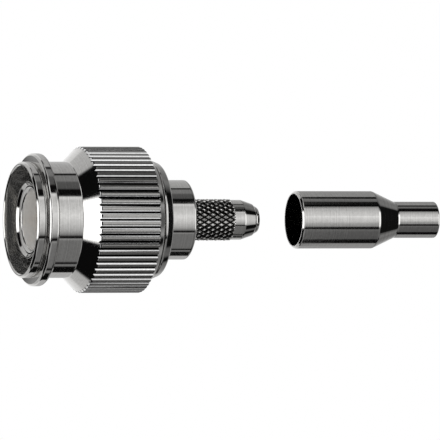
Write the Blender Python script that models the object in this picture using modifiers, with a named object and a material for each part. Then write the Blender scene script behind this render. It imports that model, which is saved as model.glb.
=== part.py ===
"""TNC cable plug of the crimp type, with its stepped crimp ferrule lying behind it, ready to be pushed on.

Metres, +Z up. The plug's axis is the X axis: the mating end faces -X and the cable end faces +X. The origin
is the centre of the coupling nut's front rim. Every outline below is a list of corners, each one a distance
along the axis and a radius, and for a corner that is broken by a chamfer the chamfer's size.
"""

import math

import bmesh
import bpy
from mathutils import Matrix, Vector

MM = 0.001

# Fits
RUNNING_GAP = 0.08 * MM  # radial room between the nut and the body that it turns on
END_GAP = 0.10 * MM  # axial room between the nut and the body's collar
SEAT_GAP = 0.03 * MM  # between pieces that are pressed together or rest on each other

# Outer contact, the sleeve that enters the socket
CONTACT_RADIUS = 4.00 * MM
CONTACT_WALL = 0.96 * MM
CONTACT_SETBACK = 0.80 * MM  # how far its lip lies behind the nut's rim
CONTACT_LIP_WIDTH = 0.20 * MM  # flat of the lip, before it rounds into the bore
CONTACT_LIP_LENGTH = 0.45 * MM  # axial length of the rounding
CONTACT_SPIGOT_LENGTH = 2.60 * MM  # pressed into the body

# Centre contact and insulators
PIN_RADIUS = 0.68 * MM
PIN_SETBACK = 1.30 * MM  # how far its tip lies behind the outer contact's lip
PIN_TIP_RADIUS = 0.30 * MM
PIN_TIP_LENGTH = 0.55 * MM
CRIMP_BARREL_STEP = 0.13 * MM  # how much the crimp barrel is thicker than the pin, all round
CRIMP_BARREL_FRONT_LENGTH = 0.60 * MM  # length of the barrel inside the front insulator
CRIMP_BARREL_LENGTH = 3.00 * MM
CRIMP_BORE_RADIUS = 0.32 * MM
CRIMP_BORE_DEPTH = 2.00 * MM
INSULATOR_SETBACK = 5.30 * MM  # how far the front insulator's face lies behind the outer contact's lip
REAR_INSULATOR_LENGTH = 2.80 * MM

# Coupling nut, inside
SOCKET_SPACE = 1.10 * MM  # radial room for the socket's wall, from the outer contact to the thread's crests
THREAD_DEPTH = 0.46 * MM  # 7/16-28, so the thread's roots lie on a radius of 5.56 mm
MOUTH_DEPTH = 2.40 * MM  # plain, before the thread starts
MATING_DEPTH = 9.35 * MM  # from the nut's rim to the gasket
THREAD_RUN_OUT = 1.20 * MM

# Gasket, shoulder and snap ring
GASKET_THICKNESS = 1.00 * MM
GASKET_EDGE = 0.10 * MM  # how far the gasket's rim lies inside the shoulder's edge
SHANK_WALL = 1.07 * MM  # wall of the body round the outer contact's spigot
SHOULDER_LAND = 1.35 * MM  # from the shoulder to the snap ring's groove
RING_THICKNESS = 0.62 * MM
RING_WIDTH = 0.55 * MM  # radial
RING_REACH = 0.40 * MM  # how far the ring stands out of the body's groove
RING_SPLIT_DEGREES = 24
RING_ROOM = 0.08 * MM  # axial and radial room round the ring in its two grooves
REAR_LAND = 1.14 * MM  # from the ring's groove to the nut's rear face

# Coupling nut, outside
MOUTH_WALL = 0.43 * MM
RIM_CHAMFER = 0.20 * MM  # outside the mouth
COLLAR_LENGTH = 0.90 * MM
UNDERCUT_LENGTH = 0.18 * MM
UNDERCUT_DEPTH = 0.13 * MM
FLANGE_HEIGHT = 0.85 * MM
FLANGE_LENGTH = 1.12 * MM
FLANGE_EDGE = 0.15 * MM
NECK_LENGTH = 2.72 * MM
CONE_HEIGHT = 1.56 * MM  # the cone rises by 45 degrees, so this is its length too
BOSS_WALL = 1.16 * MM  # at its rear edge
BOSS_RISE = 0.46 * MM  # how much higher it stands at the grip than at its rear edge
BOSS_LENGTH = 0.80 * MM
NUT_EDGE = 0.08 * MM  # small chamfer on the nut's other turned edges
GRIP_RIDGES = 60
GRIP_GROOVE_SHARE = 0.46  # groove width as a share of the ridges' spacing
GRIP_GROOVE_DEPTH = 0.20 * MM

# Body, outside
BACK_COLLAR_LENGTH = 1.02 * MM
BACK_COLLAR_WALL = 1.05 * MM  # outside the shank
BACK_COLLAR_LAND = 0.28 * MM  # its highest part, level before the crown starts to fall
BACK_COLLAR_CROWN = 0.25 * MM  # how far the crown falls to the collar's rear edge
BACK_COLLAR_EDGE = 0.15 * MM
CROWN_EVENNESS = 0.85  # 1 makes the crown a plain cone, and 0 lets it start level with the land
CROWN_STEPS = 2
BARREL_RADIUS = 4.12 * MM
BARREL_LENGTH = 3.16 * MM
BARREL_EDGE = 0.18 * MM  # at the barrel's rear
BODY_EDGE = 0.06 * MM
SPIGOT_STEP = 0.45 * MM  # how much the stem's spigot is thicker than the knurl, all round
SPIGOT_LENGTH = 1.80 * MM

# Crimp stem
KNURL_RADIUS = 2.165 * MM
KNURL_DEPTH = 0.20 * MM
KNURL_STARTS = 24
KNURL_ROWS = 10
KNURL_LENGTH = 4.80 * MM
STEM_STEP = 0.10 * MM  # how far the plain length lies below the knurl's crests
STEM_PLAIN_LENGTH = 1.23 * MM
STEM_TAPER_LENGTH = 1.35 * MM
STEM_TAPER_DROP = 0.40 * MM
TIP_STEP = 0.22 * MM
TIP_LENGTH = 0.45 * MM
STEM_BORE_RADIUS = 0.85 * MM
STEM_EDGE = 0.05 * MM

# Crimp ferrule
BRAID_SPACE = 0.545 * MM  # radial room for the cable's braid between the knurl and the ferrule
FERRULE_WALL = 0.28 * MM
FERRULE_OVERRUN = 0.74 * MM  # how far the wide tube reaches past the stem's tip when it is pushed home
FERRULE_CONE_LENGTH = 2.45 * MM
JACKET_RADIUS = 1.61 * MM  # bore of the narrow tube, for the cable's jacket
FERRULE_NECK_LENGTH = 4.59 * MM
FERRULE_STANDOFF = 4.16 * MM  # from the stem's tip to the ferrule's mouth
FERRULE_EDGE = 0.06 * MM

# Facets round the axis
NUT_FACETS = GRIP_RIDGES
BODY_FACETS = 48
SLEEVE_FACETS = 40
BEAD_FACETS = 32
PIN_FACETS = 24
KNURL_FACETS = 2 * KNURL_STARTS
QUARTER_ARC = (0, 30, 60, 90)  # degrees at the corners of a rounding

# Radii that follow from each other, from the outer contact outwards
contact_bore_radius = CONTACT_RADIUS - CONTACT_WALL
thread_crest_radius = CONTACT_RADIUS + SOCKET_SPACE
thread_root_radius = thread_crest_radius + THREAD_DEPTH
spigot_bore_radius = CONTACT_RADIUS + SEAT_GAP
shank_radius = spigot_bore_radius + SHANK_WALL
running_bore_radius = shank_radius + RUNNING_GAP
ring_outer_radius = shank_radius + RING_REACH
ring_inner_radius = ring_outer_radius - RING_WIDTH
body_groove_radius = ring_inner_radius - RING_REACH
nut_groove_radius = ring_outer_radius + RING_ROOM
collar_radius = thread_root_radius + MOUTH_WALL
flange_radius = collar_radius + FLANGE_HEIGHT
grip_radius = collar_radius + CONE_HEIGHT
boss_radius = running_bore_radius + BOSS_WALL
back_collar_radius = shank_radius + BACK_COLLAR_WALL
stem_spigot_radius = KNURL_RADIUS + SPIGOT_STEP
rear_bore_radius = stem_spigot_radius + SEAT_GAP
crimp_barrel_radius = PIN_RADIUS + CRIMP_BARREL_STEP

# Places along the axis that follow from each other, from the nut's rim backwards
shoulder_x = MATING_DEPTH + GASKET_THICKNESS + SEAT_GAP
ring_groove_x = shoulder_x + SHOULDER_LAND
ring_groove_end_x = ring_groove_x + RING_THICKNESS + 2 * RING_ROOM
nut_length = ring_groove_end_x + REAR_LAND
back_collar_x = nut_length + END_GAP
barrel_x = back_collar_x + BACK_COLLAR_LENGTH
body_end_x = barrel_x + BARREL_LENGTH
contact_end_x = shoulder_x + CONTACT_SPIGOT_LENGTH
inner_step_x = contact_end_x + SEAT_GAP
rear_insulator_x = inner_step_x + SEAT_GAP
rear_insulator_end_x = rear_insulator_x + REAR_INSULATOR_LENGTH
spigot_x = body_end_x - SPIGOT_LENGTH
knurl_end_x = body_end_x + KNURL_LENGTH
taper_x = knurl_end_x + STEM_PLAIN_LENGTH
taper_end_x = taper_x + STEM_TAPER_LENGTH
stem_end_x = taper_end_x + TIP_LENGTH
ferrule_x = stem_end_x + FERRULE_STANDOFF
ferrule_cone_x = ferrule_x + stem_end_x - body_end_x + FERRULE_OVERRUN
ferrule_neck_x = ferrule_cone_x + FERRULE_CONE_LENGTH
ferrule_end_x = ferrule_neck_x + FERRULE_NECK_LENGTH


def clear_scene():
    for old in list(bpy.data.objects):
        bpy.data.objects.remove(old, do_unlink=True)


def collection(name):
    made = bpy.data.collections.new(name)
    bpy.context.scene.collection.children.link(made)
    return made


def material(name, colour, metallic, roughness):
    made = bpy.data.materials.new(name)
    made.use_nodes = True
    shader = made.node_tree.nodes["Principled BSDF"]
    shader.inputs["Base Color"].default_value = (*colour, 1)
    shader.inputs["Metallic"].default_value = metallic
    shader.inputs["Roughness"].default_value = roughness
    made.diffuse_color = (*colour, 1)
    return made


def axis_empty(name, parent, x=0.0):
    """An empty on the plug's axis, whose own Z axis points to the cable end."""
    made = bpy.data.objects.new(name, None)
    made.empty_display_size = 2 * MM
    bpy.context.scene.collection.objects.link(made)
    made.parent = parent
    if parent:
        made.location.z = x
    else:
        made.rotation_euler.y = math.radians(90)
    return made


def with_chamfers(outline):
    """The outline with its broken corners cut back along both sides, by no more than a third of a side."""
    corners = [corner[:2] for corner in outline]
    cut = []
    for i, corner in enumerate(corners):
        if len(outline[i]) == 2:
            cut.append(corner)
            continue
        sides = (corners[i - 1], corners[(i + 1) % len(corners)])
        reach = min(outline[i][2], *(math.dist(corner, side) / 3 for side in sides))
        for side in sides:
            share = reach / math.dist(corner, side)
            cut.append(tuple(c + (s - c) * share for c, s in zip(corner, side)))
    return cut


def place(made, parent, home, finish):
    home.objects.link(made)
    made.parent = parent
    made.data.materials.append(finish)
    made.data.shade_smooth()
    made.data.set_sharp_from_angle(angle=math.radians(30))
    return made


def turned(name, outline, facets, parent, home, finish, degrees=360.0):
    """A ring turned about its parent's Z axis. Its outline is closed and starts at the outer rear corner."""
    mesh = bpy.data.meshes.new(name)
    points = [(radius, 0, x - parent.location.z) for x, radius in with_chamfers(outline)]
    mesh.from_pydata(points, [(i, (i + 1) % len(points)) for i in range(len(points))], [])
    made = bpy.data.objects.new(name, mesh)
    screw = made.modifiers.new("turn", "SCREW")
    screw.angle = math.radians(degrees)
    screw.steps = screw.render_steps = facets
    screw.use_merge_vertices = True
    screw.merge_threshold = 0.001 * MM
    screw.use_normal_calculate = False
    return place(made, parent, home, finish)


def real_mesh(made):
    """Turns the object's modifiers into its own mesh."""
    graph = bpy.context.evaluated_depsgraph_get()
    solid = bpy.data.meshes.new_from_object(made.evaluated_get(graph))
    made.modifiers.clear()
    made.data = solid
    return solid


def grip_cutter(parent, cutters):
    """Triangular bars round the nut's grip, one for each groove, with an edge pointing in."""
    front = COLLAR_LENGTH + UNDERCUT_LENGTH + FLANGE_LENGTH + NECK_LENGTH
    length = nut_length - front
    groove_width = GRIP_GROOVE_SHARE * 2 * math.pi * grip_radius / GRIP_RIDGES
    # A bar starts with corners at a radius of 1, so its height is 3/2 and its base is the root of 3.
    tall = 2 * GRIP_GROOVE_DEPTH / 1.5
    wide = 2 * groove_width / math.sqrt(3)
    middle = Vector((grip_radius - GRIP_GROOVE_DEPTH + tall, 0, front + length / 2 - parent.location.z))
    edge_inwards = Matrix.Rotation(math.radians(90), 4, "Z")
    shape = bmesh.new()
    for i in range(GRIP_RIDGES):
        turn = Matrix.Rotation(2 * math.pi * i / GRIP_RIDGES, 4, "Z")
        stretch = Matrix.Diagonal((wide, tall, length, 1))
        seat = turn @ Matrix.Translation(middle) @ edge_inwards @ stretch
        bmesh.ops.create_cone(shape, cap_ends=True, segments=3, radius1=1, radius2=1, depth=1, matrix=seat)
    mesh = bpy.data.meshes.new("grip_grooves")
    shape.to_mesh(mesh)
    shape.free()
    made = bpy.data.objects.new("grip_grooves", mesh)
    cutters.objects.link(made)
    made.parent = parent
    made.hide_render = True
    made.display_type = "WIRE"
    return made


def coupling_nut(parent, home, cutters, finish):
    flange_x = COLLAR_LENGTH + UNDERCUT_LENGTH
    neck_x = flange_x + FLANGE_LENGTH
    cone_x = neck_x + NECK_LENGTH
    grip_x = cone_x + CONE_HEIGHT
    grip_end_x = nut_length - BOSS_LENGTH
    thread_end_x = MATING_DEPTH - THREAD_RUN_OUT
    outside = [
        (nut_length, boss_radius, NUT_EDGE),
        (grip_end_x, boss_radius + BOSS_RISE),
        (grip_end_x, grip_radius, NUT_EDGE),
        (grip_x, grip_radius),
        (cone_x, collar_radius),
        (neck_x, collar_radius),
        (neck_x, flange_radius, FLANGE_EDGE),
        (flange_x, flange_radius, FLANGE_EDGE),
        (flange_x, collar_radius - UNDERCUT_DEPTH),
        (COLLAR_LENGTH, collar_radius - UNDERCUT_DEPTH),
        (COLLAR_LENGTH, collar_radius, NUT_EDGE),
        (RIM_CHAMFER, collar_radius),
        (0, collar_radius - RIM_CHAMFER),
    ]
    inside = [
        (0, thread_root_radius),
        (MOUTH_DEPTH, thread_root_radius),
        (MOUTH_DEPTH + THREAD_DEPTH, thread_crest_radius),
        (thread_end_x, thread_crest_radius),
        (thread_end_x, thread_root_radius),
        (MATING_DEPTH, thread_root_radius),
        (MATING_DEPTH + thread_root_radius - running_bore_radius, running_bore_radius),
        (ring_groove_x, running_bore_radius),
        (ring_groove_x, nut_groove_radius),
        (ring_groove_end_x, nut_groove_radius),
        (ring_groove_end_x, running_bore_radius),
        (nut_length, running_bore_radius),
    ]
    made = turned("coupling_nut", outside + inside, NUT_FACETS, parent, home, finish)
    cut = made.modifiers.new("grip", "BOOLEAN")
    cut.operation = "DIFFERENCE"
    cut.solver = "EXACT"
    cut.object = grip_cutter(parent, cutters)
    return made


def plug_body(parent, home, finish):
    """The body: shank with the snap ring's groove, crowned collar behind the nut, and plain rear barrel."""
    crown = []
    for step in range(CROWN_STEPS):
        share = step / CROWN_STEPS
        fall = CROWN_EVENNESS * share + (1 - CROWN_EVENNESS) * share**2
        x = back_collar_x + BACK_COLLAR_LAND + (BACK_COLLAR_LENGTH - BACK_COLLAR_LAND) * share
        crown.insert(0, (x, back_collar_radius - BACK_COLLAR_CROWN * fall))
    outline = [
        (body_end_x, BARREL_RADIUS, BARREL_EDGE),
        (barrel_x, BARREL_RADIUS),
        (barrel_x, back_collar_radius - BACK_COLLAR_CROWN, BACK_COLLAR_EDGE),
        *crown,
        (back_collar_x, back_collar_radius, BODY_EDGE),
        (back_collar_x, shank_radius),
        (ring_groove_end_x, shank_radius),
        (ring_groove_end_x, body_groove_radius),
        (ring_groove_x, body_groove_radius),
        (ring_groove_x, shank_radius),
        (shoulder_x, shank_radius, BODY_EDGE),
        (shoulder_x, spigot_bore_radius),
        (inner_step_x, spigot_bore_radius),
        (inner_step_x, rear_bore_radius),
        (body_end_x, rear_bore_radius),
    ]
    return turned("plug_body", outline, BODY_FACETS, parent, home, finish)


def outer_contact(parent, home, finish):
    lip_wall = CONTACT_WALL - CONTACT_LIP_WIDTH
    lip = []
    for degrees in QUARTER_ARC:
        angle = math.radians(degrees)
        x = CONTACT_SETBACK + CONTACT_LIP_LENGTH * (1 - math.cos(angle))
        lip.append((x, contact_bore_radius + lip_wall * (1 - math.sin(angle))))
    outline = [
        (contact_end_x, CONTACT_RADIUS, BODY_EDGE),
        (CONTACT_SETBACK, CONTACT_RADIUS, BODY_EDGE),
        *lip,
        (contact_end_x, contact_bore_radius),
    ]
    return turned("outer_contact", outline, SLEEVE_FACETS, parent, home, finish)


def snap_ring(parent, home, finish):
    """A flat split ring, half in the body's groove and half in the nut's."""
    rear = ring_groove_end_x - RING_ROOM
    outline = [
        (rear, ring_outer_radius),
        (rear - RING_THICKNESS, ring_outer_radius),
        (rear - RING_THICKNESS, ring_inner_radius),
        (rear, ring_inner_radius),
    ]
    made = turned("snap_ring", outline, SLEEVE_FACETS, parent, home, finish, 360.0 - RING_SPLIT_DEGREES)
    solid = real_mesh(made)
    shape = bmesh.new()
    shape.from_mesh(solid)
    bmesh.ops.holes_fill(shape, edges=[e for e in shape.edges if e.is_boundary], sides=4)
    bmesh.ops.recalc_face_normals(shape, faces=shape.faces)
    shape.to_mesh(solid)
    shape.free()
    return made


def gasket(parent, home, finish):
    inner = CONTACT_RADIUS + SEAT_GAP
    outline = [
        (MATING_DEPTH + GASKET_THICKNESS, shank_radius - GASKET_EDGE),
        (MATING_DEPTH, shank_radius - GASKET_EDGE),
        (MATING_DEPTH, inner),
        (MATING_DEPTH + GASKET_THICKNESS, inner),
    ]
    return turned("gasket", outline, SLEEVE_FACETS, parent, home, finish)


def front_insulator(parent, home, finish):
    """The bead that fills the outer contact behind the mating space, stepped for the pin's shoulder."""
    face_x = CONTACT_SETBACK + INSULATOR_SETBACK
    pocket_x = contact_end_x - CRIMP_BARREL_FRONT_LENGTH
    rim = contact_bore_radius - SEAT_GAP
    outline = [
        (contact_end_x, rim),
        (face_x, rim, BODY_EDGE),
        (face_x, PIN_RADIUS + SEAT_GAP),
        (pocket_x, PIN_RADIUS + SEAT_GAP),
        (pocket_x, crimp_barrel_radius + SEAT_GAP),
        (contact_end_x, crimp_barrel_radius + SEAT_GAP),
    ]
    return turned("front_insulator", outline, BEAD_FACETS, parent, home, finish)


def rear_insulator(parent, home, finish):
    rim = rear_bore_radius - SEAT_GAP
    bore = crimp_barrel_radius + SEAT_GAP
    outline = [
        (rear_insulator_end_x, rim),
        (rear_insulator_x, rim),
        (rear_insulator_x, bore),
        (rear_insulator_end_x, bore),
    ]
    return turned("rear_insulator", outline, BEAD_FACETS, parent, home, finish)


def centre_contact(parent, home, finish):
    """The pin: rounded tip, shoulder against the front insulator, and a crimp barrel open to the rear."""
    tip_x = CONTACT_SETBACK + PIN_SETBACK
    shoulder = contact_end_x - CRIMP_BARREL_FRONT_LENGTH + SEAT_GAP
    end = shoulder + CRIMP_BARREL_LENGTH
    nose = []
    for degrees in QUARTER_ARC:
        angle = math.radians(degrees)
        x = tip_x + PIN_TIP_LENGTH * (1 - math.sin(angle))
        nose.append((x, PIN_TIP_RADIUS + (PIN_RADIUS - PIN_TIP_RADIUS) * math.cos(angle)))
    outline = [
        (end - CRIMP_BORE_DEPTH, 0),
        (end - CRIMP_BORE_DEPTH, CRIMP_BORE_RADIUS),
        (end, CRIMP_BORE_RADIUS),
        (end, crimp_barrel_radius, BODY_EDGE),
        (shoulder, crimp_barrel_radius),
        (shoulder, PIN_RADIUS),
        *nose,
        (tip_x, 0),
    ]
    made = turned("centre_contact", outline, PIN_FACETS, parent, home, finish)
    # The pin is solid on the axis, so its outline stays open between its two ends there.
    shape = bmesh.new()
    shape.from_mesh(made.data)
    shape.edges.ensure_lookup_table()
    on_axis = [e for e in shape.edges if all(v.co.x == 0 for v in e.verts)]
    bmesh.ops.delete(shape, geom=on_axis, context="EDGES_FACES")
    shape.to_mesh(made.data)
    shape.free()
    return made


def crimp_stem(parent, home, finish):
    """The stem, with a diamond knurl made of rows of points that are pressed in at every other facet."""
    plain = KNURL_RADIUS - STEM_STEP
    thin = plain - STEM_TAPER_DROP
    tip = thin - TIP_STEP
    knurl_start_x = body_end_x + SEAT_GAP + STEM_EDGE
    row = (knurl_end_x - knurl_start_x) / KNURL_ROWS
    knurl = [(knurl_end_x - row * i, KNURL_RADIUS) for i in range(KNURL_ROWS + 1)]
    outline = [
        (stem_end_x, tip, STEM_EDGE),
        (taper_end_x, tip),
        (taper_end_x, thin, STEM_EDGE),
        (taper_x, plain),
        (knurl_end_x + STEM_STEP, plain),
        *knurl,
        (body_end_x + SEAT_GAP, plain),
        (body_end_x - SEAT_GAP, plain),
        (body_end_x - SEAT_GAP, stem_spigot_radius),
        (spigot_x, stem_spigot_radius),
        (spigot_x, STEM_BORE_RADIUS),
        (stem_end_x, STEM_BORE_RADIUS),
    ]
    made = turned("crimp_stem", outline, KNURL_FACETS, parent, home, finish)
    solid = real_mesh(made)
    for vertex in solid.vertices:
        point = vertex.co
        radius = math.hypot(point.x, point.y)
        if abs(radius - KNURL_RADIUS) > SEAT_GAP / 10:
            continue
        place_round = round(math.atan2(point.y, point.x) / (2 * math.pi) * KNURL_FACETS)
        place_along = round((point.z + parent.location.z - knurl_start_x) / row)
        if (place_round + place_along) % 2 == 0:
            point.xy *= 1 - KNURL_DEPTH / KNURL_RADIUS
    # Splitting each face along its shorter diagonal turns the valleys into crossed grooves.
    split = made.modifiers.new("diamonds", "TRIANGULATE")
    split.quad_method = "SHORTEST_DIAGONAL"
    return made


def crimp_ferrule(parent, home, finish):
    wide = KNURL_RADIUS + BRAID_SPACE
    outline = [
        (ferrule_end_x, JACKET_RADIUS + FERRULE_WALL, FERRULE_EDGE),
        (ferrule_neck_x, JACKET_RADIUS + FERRULE_WALL),
        (ferrule_cone_x, wide + FERRULE_WALL),
        (ferrule_x, wide + FERRULE_WALL, FERRULE_EDGE),
        (ferrule_x, wide, FERRULE_EDGE),
        (ferrule_cone_x, wide),
        (ferrule_neck_x, JACKET_RADIUS),
        (ferrule_end_x, JACKET_RADIUS, FERRULE_EDGE),
    ]
    return turned("crimp_ferrule", outline, BODY_FACETS, parent, home, finish)


def main():
    clear_scene()
    parts = collection("tnc_plug")
    cutters = collection("cutters")
    nickel = material("nickel_plated_brass", (0.60, 0.59, 0.57), 1.0, 0.22)
    bronze = material("spring_bronze", (0.62, 0.42, 0.24), 1.0, 0.32)
    gold = material("gold_plated_brass", (0.91, 0.68, 0.28), 1.0, 0.24)
    ptfe = material("ptfe", (0.90, 0.90, 0.88), 0.0, 0.45)
    rubber = material("silicone_rubber", (0.46, 0.10, 0.07), 0.0, 0.65)

    plug_axis = axis_empty("plug_axis", None)
    nut_axis = axis_empty("nut_spin_axis", plug_axis)
    ferrule_axis = axis_empty("ferrule_slide_axis", plug_axis, ferrule_x)

    coupling_nut(nut_axis, parts, cutters, nickel)
    plug_body(plug_axis, parts, nickel)
    outer_contact(plug_axis, parts, nickel)
    snap_ring(plug_axis, parts, bronze)
    gasket(plug_axis, parts, rubber)
    front_insulator(plug_axis, parts, ptfe)
    rear_insulator(plug_axis, parts, ptfe)
    centre_contact(plug_axis, parts, gold)
    crimp_stem(plug_axis, parts, nickel)
    crimp_ferrule(ferrule_axis, parts, nickel)


main()
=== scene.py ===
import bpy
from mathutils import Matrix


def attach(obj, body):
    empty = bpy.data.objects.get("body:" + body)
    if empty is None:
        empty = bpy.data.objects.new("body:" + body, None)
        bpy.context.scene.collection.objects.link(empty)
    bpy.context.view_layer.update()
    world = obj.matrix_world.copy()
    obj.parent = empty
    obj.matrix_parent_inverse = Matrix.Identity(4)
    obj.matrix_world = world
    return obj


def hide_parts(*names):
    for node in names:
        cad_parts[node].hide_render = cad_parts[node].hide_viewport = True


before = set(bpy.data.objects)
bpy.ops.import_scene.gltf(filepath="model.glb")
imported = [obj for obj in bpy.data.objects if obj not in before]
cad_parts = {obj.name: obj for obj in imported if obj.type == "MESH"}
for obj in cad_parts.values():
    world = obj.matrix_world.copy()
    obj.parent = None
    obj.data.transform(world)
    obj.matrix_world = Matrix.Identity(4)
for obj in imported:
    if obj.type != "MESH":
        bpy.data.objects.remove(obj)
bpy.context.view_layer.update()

import math

import bpy
from mathutils import Vector

# The plug lies along X: the mating end at x = 0 faces -X, the cable end faces +X.
# Sizes in the dictionaries are in millimetres: places along X, radii, and what is taken off corners.
mm = 0.001
weld = 0.001 * mm  # points nearer than this become one point
sortPoint = (0.0131, 0.0217, 0.0353)  # in metres, beside the plug and off its axis, so that distances differ

# a rounded corner: its points, the most of a side that it may take, and the flat point beside it, which only
# a side of the given length gets (the last two are counted in roundings)
rounding = {"steps": 4, "most": 0.4, "flatPoint": 0.5, "flatLength": 2.5}
# how much of a face's normal has to lie along a direction for the face to count as turned that way
facing = {"bore": 0.9, "knurl": 0.9, "end": 0.85}


def selectNone():
    if bpy.context.mode != "OBJECT":
        bpy.ops.object.mode_set(mode="OBJECT")
    bpy.ops.object.select_all(action="DESELECT")


def makeActive(piece):
    selectNone()
    piece.select_set(True)
    bpy.context.view_layer.objects.active = piece


def flatPoint(corner, start, reach):
    # a point beside a curve keeps the long face there flat in shading
    side = corner - start
    if side.length > rounding["flatLength"] * reach:
        return [start + side.normalized() * reach * rounding["flatPoint"]]
    return []


def roundedCorners(corners):
    # each corner is (along, radius) or (along, radius, rounding); a rounding becomes a short curve
    line = []
    for i, corner in enumerate(corners):
        here = Vector(corner[:2])
        if len(corner) == 2:
            line.append(here)
            continue
        sides = [Vector(corners[i - 1][:2]), Vector(corners[(i + 1) % len(corners)][:2])]
        reach = min(corner[2], *((side - here).length * rounding["most"] for side in sides))
        start, end = (here + (side - here).normalized() * reach for side in sides)
        line += flatPoint(sides[0], start, reach)
        for step in range(rounding["steps"] + 1):
            t = step / rounding["steps"]
            line.append(start * (1 - t) ** 2 + here * 2 * t * (1 - t) + end * t * t)
        line += flatPoint(sides[1], end, reach)
    return line


def drawLine(name, points, closed):
    # a plane merged to one point, which is then extruded from corner to corner
    selectNone()
    bpy.ops.mesh.primitive_plane_add(size=mm, location=points[0])
    piece = bpy.context.object
    piece.name = piece.data.name = name
    bpy.ops.object.mode_set(mode="EDIT")
    bpy.ops.mesh.merge(type="CENTER")
    for before, after in zip(points, points[1:] + points[:1] * closed):
        bpy.ops.mesh.extrude_region_move(TRANSFORM_OT_translate={"value": Vector(after) - Vector(before)})
    if closed:
        bpy.ops.mesh.select_all(action="SELECT")
        bpy.ops.mesh.remove_doubles(threshold=weld)
    return piece


def sortMesh():
    # merged points come out in another order on each run, so all is sorted by its distance from one point
    bpy.context.scene.cursor.location = sortPoint
    bpy.ops.mesh.select_all(action="SELECT")
    bpy.ops.mesh.sort_elements(type="CURSOR_DISTANCE", elements={"VERT", "EDGE", "FACE"})


def settle(piece):
    # the place of a finished piece is in its mesh
    makeActive(piece)
    bpy.ops.object.transform_apply(location=True, rotation=True, scale=True)
    return piece


def turn(name, corners, steps, closed=True):
    # a turned shape: the outline in the XZ plane, spun round the X axis
    points = [(p.x * mm, 0, p.y * mm) for p in roundedCorners(corners)]
    piece = drawLine(name, points, closed)
    bpy.ops.mesh.select_all(action="SELECT")
    bpy.ops.mesh.spin(steps=steps, dupli=False, angle=2 * math.pi, center=(0, 0, 0), axis=(1, 0, 0))
    bpy.ops.mesh.select_all(action="SELECT")
    bpy.ops.mesh.remove_doubles(threshold=weld)
    bpy.ops.mesh.normals_make_consistent(inside=False)
    sortMesh()
    bpy.ops.object.mode_set(mode="OBJECT")
    return settle(piece)


def applyAll(piece):
    makeActive(piece)
    for modifier in list(piece.modifiers):
        bpy.ops.object.modifier_apply(modifier=modifier.name)


def smooth(piece, degrees):
    makeActive(piece)
    bpy.ops.object.shade_smooth_by_angle(angle=math.radians(degrees))


def dress(piece, body, material, slotName, *nodes):
    # every piece rides on a body, takes one material and stands for its CAD nodes
    piece.data.materials.clear()
    piece.data.materials.append(material)
    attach(piece, body)
    if nodes:
        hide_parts(*nodes)
    return piece


def finishBores(piece, material):
    # faces that look straight at the axis take the duller finish of a plated bore
    piece.data.materials.append(material)
    for face in piece.data.polygons:
        middle = face.center.yz
        if face.normal.yz.dot(middle) < -facing["bore"] * middle.length:
            face.material_index = len(piece.data.materials) - 1


def knurlPaintedLightAndShade(piece, material, start, end, low, high):
    # faces between two places along the axis and two radii take the knurl's material, whose greys are
    # painted light and shade by depth
    piece.data.materials.append(material)
    for face in piece.data.polygons:
        x, radius = face.center.x / mm, face.center.yz.length / mm
        if start < x < end and low < radius < high and abs(face.normal.x) < facing["knurl"]:
            face.material_index = len(piece.data.materials) - 1


def finishEnd(piece, material, along):
    # faces across the axis at one place take the finish of a cut end
    piece.data.materials.append(material)
    for face in piece.data.polygons:
        if abs(face.center.x / mm - along) < 0.05 and abs(face.normal.x) > facing["end"]:
            face.material_index = len(piece.data.materials) - 1


def linear(hexColour):
    channels = [int(hexColour[i:i + 2], 16) / 255 for i in (1, 3, 5)]
    return [c / 12.92 if c <= 0.04045 else ((c + 0.055) / 1.055) ** 2.4 for c in channels] + [1]


def addNode(tree, kind, settings=None, **inputs):
    # settings are the node's own properties; inputs are values, or sockets to link from
    node = tree.nodes.new(kind)
    for key, value in (settings or {}).items():
        setattr(node, key, value)
    for key, value in inputs.items():
        numbered = key[0] == "i" and key[1:].isdigit()
        socket = node.inputs[int(key[1:]) if numbered else key.replace("_", " ")]
        if isinstance(value, bpy.types.NodeSocket):
            tree.links.new(value, socket)
        else:
            socket.default_value = value
    return node


def newMaterial(name):
    material = bpy.data.materials.new(name)
    material.use_nodes = True
    material.node_tree.nodes.clear()
    return material, material.node_tree


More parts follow.
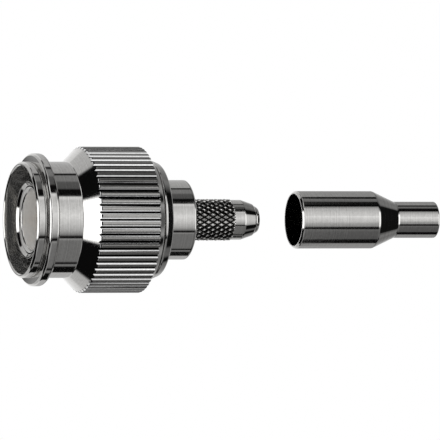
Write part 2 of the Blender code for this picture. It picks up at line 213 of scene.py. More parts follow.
def turnedMetal(name, looks):
    # Plated or bare metal off the lathe: a mirror whose tint and gloss change in fine rings, where the tool
    # passed, and in faint clouds. The rings are two to three times as coarse as a lathe's, to show.
    material, tree = newMaterial(name)
    place = addNode(tree, "ShaderNodeTexCoord").outputs["Object"]
    parts = addNode(tree, "ShaderNodeSeparateXYZ", Vector=place)
    across = addNode(tree, "ShaderNodeCombineXYZ", Y=parts.outputs["Y"], Z=parts.outputs["Z"])
    radius = addNode(tree, "ShaderNodeVectorMath", {"operation": "LENGTH"}, i0=across.outputs[0])
    along = addNode(tree, "ShaderNodeMath", {"operation": "ADD"}, i0=parts.outputs["X"],
                    i1=radius.outputs["Value"])
    rings = addNode(tree, "ShaderNodeTexNoise", {"noise_dimensions": "1D"}, W=along.outputs[0],
                    Scale=1 / (looks["ringSpacing"] * mm), Detail=2.0, Roughness=0.6)
    clouds = addNode(tree, "ShaderNodeTexNoise", Vector=place, Scale=1 / (looks["cloudSize"] * mm),
                     Detail=5.0, Roughness=0.65)
    wear = addNode(tree, "ShaderNodeMath", {"operation": "MULTIPLY_ADD"}, i0=rings.outputs["Fac"],
                   i1=looks["ringShare"], i2=(1 - looks["ringShare"]) / 2 - looks["cloudShare"] / 2)
    worn = addNode(tree, "ShaderNodeMath", {"operation": "MULTIPLY_ADD"}, i0=clouds.outputs["Fac"],
                   i1=looks["cloudShare"], i2=wear.outputs[0])
    tint = addNode(tree, "ShaderNodeMix", {"data_type": "RGBA"}, Factor=worn.outputs[0])
    tint.inputs["A"].default_value = linear(looks["dark"])
    tint.inputs["B"].default_value = linear(looks["light"])
    gloss = addNode(tree, "ShaderNodeMapRange", Value=clouds.outputs["Fac"], From_Min=0.3, From_Max=0.7,
                    To_Min=looks["roughness"] * 0.8, To_Max=looks["roughness"] * 1.25)
    bump = addNode(tree, "ShaderNodeBump", Strength=0.3, Distance=looks["ringDepth"] * mm,
                   Height=rings.outputs["Fac"])
    shader = addNode(tree, "ShaderNodeBsdfPrincipled", Base_Color=tint.outputs["Result"],
                     Metallic=looks["metallic"], Roughness=gloss.outputs["Result"],
                     Normal=bump.outputs["Normal"])
    addNode(tree, "ShaderNodeOutputMaterial", Surface=shader.outputs[0])
    return material


def knurledMetal(name, looks):
    # Plated metal under a knurling wheel, with grainy crests. Light and shade are painted by depth: the
    # radius says how deep a point lies below the crests, the ramp paints highlights on the flanks and shade
    # in the grooves, and the ramp's alpha is the roughness. The greys differ more than plating does.
    material, tree = newMaterial(name)
    place = addNode(tree, "ShaderNodeTexCoord").outputs["Object"]
    parts = addNode(tree, "ShaderNodeSeparateXYZ", Vector=place)
    across = addNode(tree, "ShaderNodeCombineXYZ", Y=parts.outputs["Y"], Z=parts.outputs["Z"])
    radius = addNode(tree, "ShaderNodeVectorMath", {"operation": "LENGTH"}, i0=across.outputs[0])
    grain = addNode(tree, "ShaderNodeTexNoise", Vector=place, Scale=1 / (looks["grainSize"] * mm),
                    Detail=4.0, Roughness=0.7)
    depth = addNode(tree, "ShaderNodeMapRange", Value=radius.outputs["Value"],
                    From_Min=looks["crest"] * mm, From_Max=(looks["crest"] - looks["depth"]) * mm)
    # the ramp paints highlights and shade by depth below the crests
    ramp = addNode(tree, "ShaderNodeValToRGB", Fac=depth.outputs["Result"])
    stops = ramp.color_ramp.elements
    for i, (share, colour, roughness) in enumerate(looks["paintedShadesByDepth"]):
        stop = stops[i] if i < 2 else stops.new(share)
        stop.position = share
        stop.color = linear(colour)[:3] + [roughness]
    speck = addNode(tree, "ShaderNodeMapRange", Value=grain.outputs["Fac"], From_Min=0.35, From_Max=0.65,
                    To_Min=1 - looks["grainShare"], To_Max=1.0)
    tint = addNode(tree, "ShaderNodeVectorMath", {"operation": "SCALE"}, i0=ramp.outputs["Color"],
                   Scale=speck.outputs["Result"])
    shape = addNode(tree, "ShaderNodeBump", Strength=0.5, Distance=looks["grainDepth"] * mm,
                    Height=grain.outputs["Fac"])
    shader = addNode(tree, "ShaderNodeBsdfPrincipled", Base_Color=tint.outputs[0], Metallic=1.0,
                     Roughness=ramp.outputs["Alpha"], Normal=shape.outputs["Normal"])
    addNode(tree, "ShaderNodeOutputMaterial", Surface=shader.outputs[0])
    return material


def plainMaterial(name, looks):
    # Moulded or turned plastic and rubber, with a fine grain in colour, gloss and relief.
    material, tree = newMaterial(name)
    place = addNode(tree, "ShaderNodeTexCoord").outputs["Object"]
    grain = addNode(tree, "ShaderNodeTexNoise", Vector=place, Scale=1 / (looks["grainSize"] * mm),
                    Detail=5.0)
    tint = addNode(tree, "ShaderNodeMix", {"data_type": "RGBA"}, Factor=grain.outputs["Fac"])
    tint.inputs["A"].default_value = linear(looks["dark"])
    tint.inputs["B"].default_value = linear(looks["light"])
    gloss = addNode(tree, "ShaderNodeMapRange", Value=grain.outputs["Fac"], From_Min=0.3, From_Max=0.7,
                    To_Min=looks["roughness"] - 0.06, To_Max=looks["roughness"] + 0.06)
    bump = addNode(tree, "ShaderNodeBump", Strength=0.4, Distance=looks["grainDepth"] * mm,
                   Height=grain.outputs["Fac"])
    shader = addNode(tree, "ShaderNodeBsdfPrincipled", Base_Color=tint.outputs["Result"],
                     Roughness=gloss.outputs["Result"], Normal=bump.outputs["Normal"], IOR=looks["ior"])
    shader.inputs["Subsurface Weight"].default_value = looks["translucency"]
    shader.inputs["Subsurface Radius"].default_value = [0.4 * mm] * 3
    addNode(tree, "ShaderNodeOutputMaterial", Surface=shader.outputs[0])
    return material


nickelLooks = {"dark": "#aeadab", "light": "#d6d5d3", "metallic": 1.0, "roughness": 0.06,
               "ringSpacing": 0.13, "ringShare": 0.9, "ringDepth": 0.0015, "cloudSize": 0.35,
               "cloudShare": 0.9}
# plating is duller inside: a little in the nut's mouth, and much in a deep bore
mouthLooks = dict(nickelLooks, dark="#b4b3b1", light="#d0cfcd", metallic=0.88, roughness=0.10,
                  cloudShare=0.4, ringDepth=0.0008)
boreLooks = dict(nickelLooks, dark="#cbcac8", light="#e4e3e1", metallic=0.2, roughness=0.36)
# the sawn end of the drawn tube
cutLooks = dict(nickelLooks, dark="#c9c8c6", light="#efeeed", metallic=0.35, roughness=0.45)
goldLooks = dict(nickelLooks, dark="#d9a441", light="#e8bd5f", roughness=0.14)
bronzeLooks = dict(nickelLooks, dark="#a87442", light="#bd8650", roughness=0.28)
# painted light and shade by depth: share of the depth below the crests, colour and roughness
# the grip's painted light and shade: a grey crest, a black line just below it, white highlights on the
# flanks and black shade in the grooves
gripLooks = {"crest": 7.55, "depth": 0.24, "grainSize": 0.07, "grainDepth": 0.006, "grainShare": 0.38,
             "paintedShadesByDepth": [(0.0, "#a09f9d", 0.20), (0.03, "#a09f9d", 0.20), (0.08, "#11100f", 0.20),
                          (0.17, "#11100f", 0.20), (0.21, "#ffffff", 0.05), (0.64, "#ffffff", 0.05),
                          (0.70, "#0b0a0a", 0.20), (1.0, "#080808", 0.30)]}
# the diamonds' painted shade: light crests, darkening to near black in the valleys
stemKnurlLooks = {"crest": 2.165, "depth": 0.19, "grainSize": 0.06, "grainDepth": 0.004,
                  "grainShare": 0.20,
                  "paintedShadesByDepth": [(0.0, "#e4e3e1", 0.16), (0.40, "#c2c1bf", 0.12), (0.70, "#3a3938", 0.15),
                               (1.0, "#121110", 0.20)]}
ptfeLooks = {"dark": "#e4e4e0", "light": "#f2f2ef", "roughness": 0.42, "grainSize": 0.25,
             "grainDepth": 0.004, "ior": 1.38, "translucency": 0.25}
rubberLooks = {"dark": "#7c2a1f", "light": "#96372a", "roughness": 0.62, "grainSize": 0.08,
               "grainDepth": 0.006, "ior": 1.43, "translucency": 0.0}

nickel = turnedMetal("nickel plate, turned brass", nickelLooks)
mouthNickel = turnedMetal("nickel plate, in the nut's mouth", mouthLooks)
boreNickel = turnedMetal("nickel plate, inside a bore", boreLooks)
cutNickel = turnedMetal("nickel plate, cut tube end", cutLooks)
gripPaintedLight = knurledMetal("nickel plate, straight knurl, painted highlights and shade", gripLooks)
stemKnurlPaintedShade = knurledMetal("nickel plate, diamond knurl, painted shade", stemKnurlLooks)
gold = turnedMetal("gold plate, turned brass", goldLooks)
bronze = turnedMetal("spring bronze, stamped", bronzeLooks)
ptfe = plainMaterial("ptfe, turned", ptfeLooks)
rubber = plainMaterial("silicone rubber, moulded", rubberLooks)
print("materials ready")

nutSizes = {
    "length": 13.65, "steps": 240,
    # outside, from the rim to the boss
    "collar": 5.99, "collarEnd": 0.90, "rimChamfer": 0.20, "undercutDepth": 0.13,
    "flangeStart": 1.08, "flangeEnd": 2.20, "flange": 6.84, "flangeChamfer": 0.19, "flangeLean": 0.03,
    "rearChamfer": 0.17, "coneStart": 4.92, "gripStart": 6.48, "gripEnd": 12.85, "grip": 7.55,
    "boss": 6.34, "bossRise": 0.46,
    # inside, from the mouth to the snap ring's groove
    "mouth": 5.56, "mouthChamfer": 0.12, "mouthDepth": 2.4, "threadEnd": 8.15, "matingDepth": 9.35,
    "runningBore": 5.18, "ringGroove": 5.58, "ringGrooveStart": 11.73, "ringGrooveEnd": 12.51,
    # the grip's grooves
    "ridges": 60, "grooveDepth": 0.24, "grooveHalf": 0.235, "grooveFloor": 0.04, "crestRound": 0.04,
    # the coupling thread, 28 to the inch; its shares are of the pitch
    "crest": 5.10, "threadPitch": 0.907, "crestShare": 0.12, "baseShare": 0.98, "threadSink": 0.04,
    "threadSteps": 120,
}


def makeNut(s):
    outline = [
        (s["length"], s["boss"], 0.10),
        (s["gripEnd"], s["boss"] + s["bossRise"]),
        (s["gripEnd"], s["grip"], 0.10),
        (s["gripStart"], s["grip"], 0.14),
        (s["coneStart"], s["collar"], 0.05),
        (s["flangeEnd"], s["collar"], 0.03),
        (s["flangeEnd"], s["flange"] - s["rearChamfer"], 0.04),
        (s["flangeEnd"] - s["rearChamfer"], s["flange"], 0.13),
        (s["flangeStart"] + s["flangeChamfer"], s["flange"], 0.10),
        (s["flangeStart"] + s["flangeLean"], s["flange"] - s["flangeChamfer"], 0.03),
        (s["flangeStart"] - s["flangeLean"], s["collar"] - s["undercutDepth"], 0.04),
        (s["collarEnd"], s["collar"] - s["undercutDepth"], 0.04),
        (s["collarEnd"], s["collar"], 0.12),
        (s["rimChamfer"], s["collar"], 0.07),
        (0, s["collar"] - s["rimChamfer"], 0.05),
        (0, s["mouth"] + s["mouthChamfer"], 0.02),
        (s["mouthChamfer"], s["mouth"], 0.04),
        (s["mouthDepth"], s["mouth"]),
        (s["threadEnd"], s["mouth"]),
        (s["matingDepth"], s["mouth"]),
        (s["matingDepth"] + s["mouth"] - s["runningBore"], s["runningBore"]),
        (s["ringGrooveStart"], s["runningBore"]),
        (s["ringGrooveStart"], s["ringGroove"]),
        (s["ringGrooveEnd"], s["ringGroove"]),
        (s["ringGrooveEnd"], s["runningBore"]),
        (s["length"], s["runningBore"], 0.05),
    ]
    nut = turn("couplingNut", outline, s["steps"])
    # one grip groove: a V with a rounded bottom, whose sides flare out over the ridge's crest
    bottom = s["grip"] - s["grooveDepth"]
    half = s["grooveHalf"]
    soft = s["crestRound"]
    side = [
        (s["grooveFloor"] * 0.6, bottom),
        (s["grooveFloor"], bottom + 0.015),
        (half - soft * 0.5, s["grip"] - soft * 1.2),
        (half, s["grip"] - soft * 0.4),
        (half + soft, s["grip"] + 0.002),
        (half + soft, s["grip"] + 0.4),
    ]
    shape = [(s["coneStart"] * mm, y * mm, z * mm) for y, z in side]
    shape += [(x, -y, z) for x, y, z in reversed(shape)]
    cutter = drawLine("gripGroove", shape, True)
    bpy.ops.mesh.select_all(action="SELECT")
    bpy.ops.mesh.edge_face_add()
    reach = (s["length"] - s["coneStart"]) * mm
    bpy.ops.mesh.extrude_region_move(TRANSFORM_OT_translate={"value": (reach, 0, 0)})
    bpy.ops.mesh.select_all(action="SELECT")
    bpy.ops.mesh.normals_make_consistent(inside=False)
    bpy.ops.mesh.spin(steps=s["ridges"], dupli=True, angle=2 * math.pi, center=(0, 0, 0), axis=(1, 0, 0))
    bpy.ops.mesh.select_all(action="SELECT")
    bpy.ops.mesh.remove_doubles(threshold=weld)
    sortMesh()
    bpy.ops.object.mode_set(mode="OBJECT")
    settle(cutter)
    cut = nut.modifiers.new("gripGrooves", "BOOLEAN")
    cut.object = cutter
    applyAll(nut)
    bpy.data.objects.remove(cutter)
    smooth(nut, 32)
    return nut


nut = dress(makeNut(nutSizes), "nut", nickel, "nickel_plate", "coupling_nut")
finishBores(nut, mouthNickel)
# the grip's faces take the knurl material with its painted highlights and shade
knurlPaintedLightAndShade(nut, gripPaintedLight, nutSizes["gripStart"] - 0.3, nutSizes["gripEnd"],
            nutSizes["grip"] - nutSizes["grooveDepth"] - 0.02, nutSizes["grip"] + 0.1)
print("coupling nut ready:", len(nut.data.polygons), "faces")


def makeThread(s):
    # the ridge between the nut's thread grooves, wound from the mouth to the run-out, sunk a little into the
    # wall, and narrower at its base than the pitch, so that its turns share no edge
    wall = s["mouth"] + s["threadSink"]
    pitch = s["threadPitch"]
    start = s["mouthDepth"]
    middle = start + pitch / 2
    crestHalf = pitch * s["crestShare"] / 2
    shape = [(start, wall), (middle - crestHalf, s["crest"]), (middle + crestHalf, s["crest"]),
             (start + pitch * s["baseShare"], wall)]
    ridge = drawLine("nutThread", [(x * mm, 0, z * mm) for x, z in shape], True)
    bpy.ops.object.mode_set(mode="OBJECT")
    settle(ridge)
    wind = ridge.modifiers.new("wind", "SCREW")
    wind.axis = "X"
    wind.steps = wind.render_steps = s["threadSteps"]
    wind.iterations = int((s["threadEnd"] - start - pitch) / pitch)
    wind.screw_offset = pitch * mm
    wind.merge_threshold = weld
    applyAll(ridge)
    bpy.ops.object.mode_set(mode="EDIT")
    bpy.ops.mesh.select_all(action="DESELECT")
    bpy.ops.mesh.select_mode(type="EDGE")
    bpy.ops.mesh.select_non_manifold()
    bpy.ops.mesh.fill_holes(sides=6)
    bpy.ops.mesh.select_mode(type="VERT")
    bpy.ops.mesh.select_all(action="SELECT")
    bpy.ops.mesh.normals_make_consistent(inside=False)
    bpy.ops.object.mode_set(mode="OBJECT")
    smooth(ridge, 25)
    return ridge


thread = dress(makeThread(nutSizes), "nut", mouthNickel, "nickel_plate")
print("thread ready:", len(thread.data.polygons), "faces")

bodySizes = {
    "shoulder": 10.38, "shank": 5.10, "ringGrooveStart": 11.73, "ringGrooveEnd": 12.51, "ringGroove": 4.55,
    "collarStart": 13.75, "collarLand": 14.03, "collarEnd": 14.77, "collar": 6.15, "collarRear": 5.86,
    "collarChamfer": 0.12, "barrel": 4.12, "rearChamfer": 0.15, "end": 17.93, "spigotBore": 4.03,
    "innerStep": 13.01, "rearBore": 2.645, "steps": 192,
}


def makeBody(s):
    outline = [
        (s["end"], s["barrel"] - s["rearChamfer"], 0.04),
        (s["end"] - s["rearChamfer"], s["barrel"], 0.20),
        (s["collarEnd"], s["barrel"], 0.03),
        (s["collarEnd"], s["collarRear"], 0.15),
        (s["collarLand"], s["collar"], 0.03),
        (s["collarStart"] + s["collarChamfer"], s["collar"], 0.03),
        (s["collarStart"], s["collar"] - s["collarChamfer"], 0.03),
        (s["collarStart"], s["shank"]),
        (s["ringGrooveEnd"], s["shank"]),
        (s["ringGrooveEnd"], s["ringGroove"]),
        (s["ringGrooveStart"], s["ringGroove"]),
        (s["ringGrooveStart"], s["shank"]),
        (s["shoulder"], s["shank"], 0.06),
        (s["shoulder"], s["spigotBore"]),
        (s["innerStep"], s["spigotBore"]),
        (s["innerStep"], s["rearBore"]),
        (s["end"], s["rearBore"]),
    ]
    body = turn("plugBody", outline, s["steps"])
    smooth(body, 32)
    return body


plugBody = dress(makeBody(bodySizes), "plug", nickel, "nickel_plate", "plug_body")
print("body ready")

contactSizes = {"front": 0.80, "outside": 4.00, "lip": 3.82, "lipChamfer": 0.25, "throat": 3.45,
                "throatEnd": 1.35, "bore": 3.04, "end": 12.98, "steps": 192}


def makeOuterContact(s):
    # the lip is chamfered inwards, and behind it a step rounds into the bore by a quarter of an ellipse
    step = s["front"] + s["lipChamfer"]
    throat = []
    for degrees in range(0, 91, 10):
        angle = math.radians(degrees)
        throat.append((step + (s["throatEnd"] - step) * (1 - math.cos(angle)),
                       s["bore"] + (s["throat"] - s["bore"]) * (1 - math.sin(angle))))
    outline = [
        (s["end"], s["outside"]),
        (s["front"], s["outside"], 0.05),
        (s["front"], s["lip"], 0.02),
        (step, s["lip"] - s["lipChamfer"], 0.03),
        *throat,
        (s["end"], s["bore"]),
    ]
    sleeve = turn("outerContact", outline, s["steps"])
    smooth(sleeve, 32)
    return sleeve


outerContact = dress(makeOuterContact(contactSizes), "plug", nickel, "nickel_plate", "outer_contact")
finishBores(outerContact, boreNickel)

gasketSizes = {"front": 9.35, "rear": 10.35, "outside": 5.00, "inside": 4.03, "edge": 0.12, "steps": 144}
beadSizes = {"face": 6.10, "outside": 3.01, "pinBore": 0.71, "pocket": 12.38, "barrelBore": 0.84,
             "end": 12.98, "steps": 144}
pinSizes = {"tip": 2.10, "tipRadius": 0.30, "tipLength": 0.55, "pin": 0.68, "shoulder": 12.41,
            "barrel": 0.81, "end": 15.41, "bore": 0.32, "boreDepth": 2.0, "steps": 96}


def makeGasket(s):
    outline = [
        (s["rear"], s["outside"], s["edge"]),
        (s["front"], s["outside"], s["edge"]),
        (s["front"], s["inside"], s["edge"]),
        (s["rear"], s["inside"], s["edge"]),
    ]
    ring = turn("gasketRing", outline, s["steps"])
    smooth(ring, 40)
    return ring


def makeBead(s):
    outline = [
        (s["end"], s["outside"]),
        (s["face"], s["outside"], 0.10),
        (s["face"], s["pinBore"], 0.08),
        (s["pocket"], s["pinBore"]),
        (s["pocket"], s["barrelBore"]),
        (s["end"], s["barrelBore"]),
    ]
    bead = turn("frontBead", outline, s["steps"])
    smooth(bead, 40)
    return bead


def makePin(s):
    nose = []
    for degrees in range(0, 91, 10):
        angle = math.radians(degrees)
        along = s["tip"] + s["tipLength"] * (1 - math.sin(angle))
        nose.append((along, s["tipRadius"] + (s["pin"] - s["tipRadius"]) * math.cos(angle)))
    outline = [
        (s["end"] - s["boreDepth"], 0),
        (s["end"] - s["boreDepth"], s["bore"]),
        (s["end"], s["bore"]),
        (s["end"], s["barrel"], 0.05),
        (s["shoulder"], s["barrel"], 0.05),
        (s["shoulder"], s["pin"]),
        *nose,
        (s["tip"], 0),
    ]
    pin = turn("centrePin", outline, s["steps"], closed=False)
    smooth(pin, 40)
    return pin


gasketRing = dress(makeGasket(gasketSizes), "plug", rubber, "silicone_rubber", "gasket")
frontBead = dress(makeBead(beadSizes), "plug", ptfe, "ptfe", "front_insulator")
centrePin = dress(makePin(pinSizes), "plug", gold, "gold_plate", "centre_contact")
print("contacts and bead ready")

stemSizes = {
    "bodyEnd": 17.93, "knurlStart": 18.01, "knurlEnd": 22.73, "knurl": 2.165, "plain": 2.065,
    "taperStart": 23.96, "taperEnd": 25.31, "thin": 1.665, "tip": 1.445, "end": 25.76, "spigot": 2.615,
    "spigotStart": 16.13, "bore": 0.85, "starts": 24, "diamonds": 10, "fine": 4, "depth": 0.19, "flat": 0.9,
    "tipChamfer": 0.13, "tipLand": 0.13, "endChamfer": 0.17,
    # short lands beside the steps keep the long faces flat in shading
    "land": 0.03,
}


def makeStem(s):
    rows = s["diamonds"] * s["fine"]
    columns = 2 * s["starts"] * s["fine"]
    row = (s["knurlEnd"] - s["knurlStart"]) / rows
    band = [(s["knurlEnd"] - row * i, s["knurl"]) for i in range(rows + 1)]
    outline = [
        (s["end"], s["tip"] - s["endChamfer"], 0.08),
        (s["taperEnd"] + s["tipLand"], s["tip"], 0.05),
        (s["taperEnd"], s["tip"], 0.03),
        (s["taperEnd"], s["thin"] - s["tipChamfer"], 0.02),
        (s["taperEnd"] - s["tipChamfer"], s["thin"], 0.02),
        (s["taperStart"], s["plain"], 0.06),
        (s["knurlEnd"] + s["knurl"] - s["plain"] + s["land"], s["plain"]),
        (s["knurlEnd"] + s["knurl"] - s["plain"], s["plain"]),
        *band,
        (s["bodyEnd"] + s["land"], s["plain"]),
        (s["bodyEnd"] - s["land"], s["plain"]),
        (s["bodyEnd"] - s["land"], s["spigot"]),
        (s["spigotStart"], s["spigot"]),
        (s["spigotStart"], s["bore"]),
        (s["end"], s["bore"], 0.05),
    ]
    stem = turn("crimpStem", outline, columns)
    # diamonds: each point of the band sinks by its distance to the nearest crest, a few levels in all
    levels = {}
    for vertex in stem.data.vertices:
        x, y, z = (c / mm for c in vertex.co)
        onCrest = abs(math.hypot(y, z) - s["knurl"]) <= 0.004
        inBand = s["knurlStart"] - 0.01 < x < s["knurlEnd"] + 0.01
        if not (onCrest and inBand):
            continue
        a = math.atan2(y, z) / (2 * math.pi) * columns
        b = (x - s["knurlStart"]) / row
        u, v = ((round(a) + round(b)) / (2 * s["fine"]), (round(a) - round(b)) / (2 * s["fine"]))
        height = 2 * min(abs(u - round(u)), abs(v - round(v)))
        levels.setdefault(round(min(height, s["flat"]), 4), []).append(vertex.index)
    for height, members in levels.items():
        makeActive(stem)
        bpy.ops.object.mode_set(mode="EDIT")
        bpy.ops.mesh.select_all(action="DESELECT")
        bpy.ops.object.mode_set(mode="OBJECT")
        for index in members:
            stem.data.vertices[index].select = True
        bpy.ops.object.mode_set(mode="EDIT")
        share = 1 - s["depth"] * (1 - height / s["flat"]) / s["knurl"]
        bpy.ops.transform.resize(value=(1, share, share), center_override=(0, 0, 0))
    bpy.ops.mesh.select_all(action="SELECT")
    bpy.ops.mesh.quads_convert_to_tris(quad_method="SHORTEST_DIAGONAL")
    bpy.ops.object.mode_set(mode="OBJECT")
    smooth(stem, 14)
    return stem


crimpStem = dress(makeStem(stemSizes), "plug", nickel, "nickel_plate", "crimp_stem")
# the diamonds' faces take the knurl material with its painted shade in the valleys
knurlPaintedLightAndShade(crimpStem, stemKnurlPaintedShade, stemSizes["knurlStart"], stemSizes["knurlEnd"],
            stemSizes["knurl"] - stemSizes["depth"] - 0.02, stemSizes["knurl"] + 0.1)
print("crimp stem ready:", len(crimpStem.data.polygons), "faces")

ferruleSizes = {"mouth": 29.92, "coneStart": 38.49, "coneEnd": 40.94, "end": 45.53, "wide": 2.99,
                "wideBore": 2.71, "narrow": 1.89, "narrowBore": 1.61, "chamfer": 0.19, "steps": 192}


def makeFerrule(s):
    outline = [
        (s["end"], s["narrow"], 0.12),
        (s["coneEnd"], s["narrow"], 0.12),
        (s["coneStart"], s["wide"], 0.12),
        (s["mouth"] + s["chamfer"], s["wide"], 0.05),
        (s["mouth"], s["wide"] - s["chamfer"], 0.02),
        (s["mouth"], s["wideBore"], 0.03),
        (s["coneStart"], s["wideBore"]),
        (s["coneEnd"], s["narrowBore"]),
        (s["end"], s["narrowBore"], 0.08),
    ]
    tube = turn("crimpFerrule", outline, s["steps"])
    smooth(tube, 32)
    return tube


ferrule = dress(makeFerrule(ferruleSizes), "ferrule", nickel, "nickel_plate", "crimp_ferrule")
finishEnd(ferrule, cutNickel, ferruleSizes["mouth"])
print("ferrule ready")

for node, material in {"snap_ring": bronze, "rear_insulator": ptfe}.items():
    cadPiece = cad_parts[node]
    cadPiece.data.materials.clear()
    cadPiece.data.materials.append(material)

# mirror is the share of light that polished nickel sends back
studio = {"floorAlong": 22.0, "floorDrop": 30.0, "floorRadius": 140.0, "floorColour": "#f4f4f4",
          "background": 1.0, "mirror": 0.56}


def makeFloor(s):
    selectNone()
    bpy.ops.mesh.primitive_circle_add(vertices=96, radius=s["floorRadius"] * mm, fill_type="NGON",
                                      location=(s["floorAlong"] * mm, 0, -s["floorDrop"] * mm))
    floor = bpy.context.object
    floor.name = "floor"
    material, tree = newMaterial("painted floor, pale")
    shader = addNode(tree, "ShaderNodeBsdfPrincipled", Roughness=0.9)
    shader.inputs["Base Color"].default_value = linear(s["floorColour"])
    addNode(tree, "ShaderNodeOutputMaterial", Surface=shader.outputs[0])
    floor.data.materials.append(material)
    floor.visible_glossy = False


makeFloor(studio)

# The studio as the metal sees it: soft boxes, grey walls and black screens. Each stop is an angle round the
# plug's axis (0 is the camera's side, 90 above, -90 below, 180 behind) and the grey from 0 to 255 that
# polished nickel shows there. The slices follow each other from left to right: "until" is the X of a
# mirrored ray's direction, and "soft" the blend between two. In the two slices that the sides of plug and
# ferrule mirror to the camera, angles and greys were set after the bands measured there in the
# photograph. The other slices are given as listed.
studioSlices = [
    # far left: a soft box level with the plug
    {"until": -0.897, "bands": [
        (-180, 150), (-129, 150), (-125, 10), (-76, 10), (-68, 290), (68, 290), (76, 10), (113, 10),
        (117, 150), (180, 150)]},
    # left: black screens before and behind it, with bright strips above and below
    {"until": -0.72, "soft": 0.01, "bands": [
        (-180, 12), (-177.5, 12), (-175.5, 160), (-129, 155), (-125, 10), (-56, 10), (-50, 190), (-24, 190),
        (-18, 10), (18, 10), (24, 225), (50, 225), (56, 10), (113, 10), (117, 150), (175.5, 160),
        (177.5, 12), (180, 12)]},
    # further in, the same with the strips moved up and down
    {"until": -0.20, "soft": 0.02, "bands": [
        (-180, 12), (-177.5, 12), (-175.5, 175), (-129, 165), (-125, 10), (-80, 10), (-72, 150),
        (-52, 150), (-46, 10), (42, 10), (48, 225), (72, 225), (80, 10), (113, 10), (117, 165),
        (175.5, 175), (177.5, 12), (180, 12)]},
    # front and back: large bright panels between narrow screens
    {"until": 0.26, "soft": 0.04, "bands": [
        (-180, 205), (-131, 185), (-127, 14), (-114, 14), (-108, 135), (-60, 125), (-40, 150), (-36.5, 14),
        (-33, 14), (-30, 150), (-8, 225), (20, 238), (44, 215), (49, 14), (59, 14), (64, 130), (84, 160),
        (108, 150), (113, 14), (121, 14), (126, 185), (180, 205)]},
    # the part of it that the plug's turned sides show to the camera
    {"until": 0.3363, "soft": 0.03, "bands": [
        (-180, 128), (-166, 150), (-131, 162), (-128, 10), (-108, 8), (-104, 112), (-100.5, 112), (-98, 6),
        (-95, 6), (-91, 104), (-42, 106), (-38.5, 143), (-36.5, 8), (-33, 8), (-30, 115), (-22, 160),
        (-8, 190), (8, 212), (20, 196), (38, 180), (45.5, 210), (48.5, 6), (62, 12), (65.5, 76), (80, 80),
        (84, 112), (98, 114), (100.5, 10), (104, 10), (107, 150), (166, 160), (180, 128)]},
    # further right, seen in the ferrule's sides
    {"until": 0.40, "soft": 0.002, "bands": [
        (-180, 110), (-168, 128), (-112, 137), (-108, 6), (-87, 8), (-83, 76), (-50, 82), (-41, 96),
        (-36.5, 6), (-29.5, 6), (-26, 132), (-15, 150), (-8, 184), (4, 198), (10, 208), (12.5, 226),
        (15, 204), (34, 184), (52, 143), (56, 6), (76, 6), (79, 92), (92, 106), (95, 8), (104, 10),
        (108, 132), (168, 125), (180, 105)]},
    # a narrow lamp, seen in rounded rear edges
    {"until": 0.74, "soft": 0.03, "bands": [
        (-180, 12), (-174, 170), (-140, 120), (-118, 100), (-112, 10), (-96, 10), (-88, 90), (-34, 110),
        (-28, 270), (32, 270), (40, 150), (54, 8), (70, 8), (78, 80), (104, 110), (112, 100), (140, 120),
        (174, 170), (180, 12)]},
    # right: a grey panel, seen in the stem's taper
    {"until": 0.838, "soft": 0.02, "bands": [
        (-180, 12), (-172, 110), (-100, 110), (-96, 90), (-80, 85), (-74, 8), (-46, 8), (-38, 165), (0, 205),
        (34, 190), (40, 165), (47, 8), (74, 8), (82, 60), (100, 110), (172, 110), (180, 12)]},
    # then black, seen in the crowned collar and the ferrule's cone
    {"until": 0.95, "soft": 0.014, "bands": [(-180, 12), (-172, 150), (-97, 130), (-88, 16), (88, 16),
                                             (97, 130), (172, 150), (180, 12)]},
    # far right: a grey wall, seen in the nut's boss
    {"until": 1.0, "soft": 0.01, "bands": [(-180, 12), (-130, 12), (-110, 150), (-60, 140), (-30, 85),
                                           (30, 85), (60, 140), (110, 150), (130, 12), (180, 12)]},
]


def addBands(tree, share, bands, mirror):
    ramp = addNode(tree, "ShaderNodeValToRGB", Fac=share)
    stops = ramp.color_ramp.elements
    for i, (degrees, grey) in enumerate(bands):
        place = (degrees + 180) / 360
        stop = stops[i] if i < 2 else stops.new(place)
        stop.position = place
        light = (grey / 255 + 0.055) ** 2.4 / 1.055 ** 2.4 / mirror
        stop.color = (light, light, light, 1)
    return ramp.outputs["Color"]


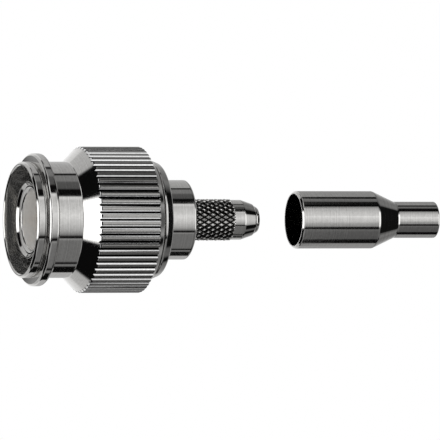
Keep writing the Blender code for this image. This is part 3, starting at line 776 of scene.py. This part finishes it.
def makeStudio(s, slices):
    world = bpy.data.worlds.new("softStudio")
    bpy.context.scene.world = world
    world.use_nodes = True
    tree = world.node_tree
    tree.nodes.clear()
    way = addNode(tree, "ShaderNodeTexCoord").outputs["Generated"]
    parts = addNode(tree, "ShaderNodeSeparateXYZ", Vector=way)
    front = addNode(tree, "ShaderNodeMath", {"operation": "MULTIPLY"}, i0=parts.outputs["Y"], i1=-1.0)
    angle = addNode(tree, "ShaderNodeMath", {"operation": "ARCTAN2"}, i0=parts.outputs["Z"],
                    i1=front.outputs[0])
    turned = addNode(tree, "ShaderNodeMapRange", Value=angle.outputs[0], From_Min=-math.pi,
                     From_Max=math.pi)
    share = turned.outputs[0]
    seen = addBands(tree, share, slices[0]["bands"], s["mirror"])
    for before, here in zip(slices, slices[1:]):
        cross = addNode(tree, "ShaderNodeMapRange", {"interpolation_type": "SMOOTHSTEP"},
                        Value=parts.outputs["X"], From_Min=before["until"] - here["soft"],
                        From_Max=before["until"] + here["soft"])
        mix = addNode(tree, "ShaderNodeMix", {"data_type": "RGBA"}, Factor=cross.outputs[0])
        tree.links.new(seen, mix.inputs["A"])
        tree.links.new(addBands(tree, share, here["bands"], s["mirror"]), mix.inputs["B"])
        seen = mix.outputs["Result"]
    mirrored = addNode(tree, "ShaderNodeBackground", Color=seen)
    plain = addNode(tree, "ShaderNodeBackground", Strength=s["background"])
    plain.inputs["Color"].default_value = (1, 1, 1, 1)
    path = addNode(tree, "ShaderNodeLightPath")
    matte = addNode(tree, "ShaderNodeMath", {"operation": "MAXIMUM"}, i0=path.outputs["Is Camera Ray"],
                    i1=path.outputs["Is Diffuse Ray"])
    both = addNode(tree, "ShaderNodeMixShader", i0=matte.outputs[0], i1=mirrored.outputs[0],
                   i2=plain.outputs[0])
    addNode(tree, "ShaderNodeOutputWorld", Surface=both.outputs[0])


makeStudio(studio, studioSlices)

# angles in degrees; width is how much of the plug's plane the frame shows
camera = {"azimuth": -19.25, "elevation": 0.0, "lens": 642.0, "sensor": 36.0, "width": 45.67,
          "aimAlong": 21.81, "aimUp": -0.02}


def makeCamera(s):
    lens = bpy.data.cameras.new("productView")
    lens.lens = s["lens"]
    lens.sensor_width = s["sensor"]
    eye = bpy.data.objects.new("productView", lens)
    bpy.context.scene.collection.objects.link(eye)
    a, e = math.radians(s["azimuth"]), math.radians(s["elevation"])
    back = Vector((math.sin(a) * math.cos(e), -math.cos(a) * math.cos(e), math.sin(e)))
    distance = s["width"] * s["lens"] / s["sensor"] * mm
    eye.location = Vector((s["aimAlong"], 0, s["aimUp"])) * mm + back * distance
    eye.rotation_mode = "QUATERNION"
    eye.rotation_quaternion = (-back).to_track_quat("-Z", "Y")
    lens.clip_start, lens.clip_end = 0.01, 10
    bpy.context.scene.camera = eye


makeCamera(camera)
bpy.context.scene.view_settings.view_transform = "Standard"
print("studio ready")
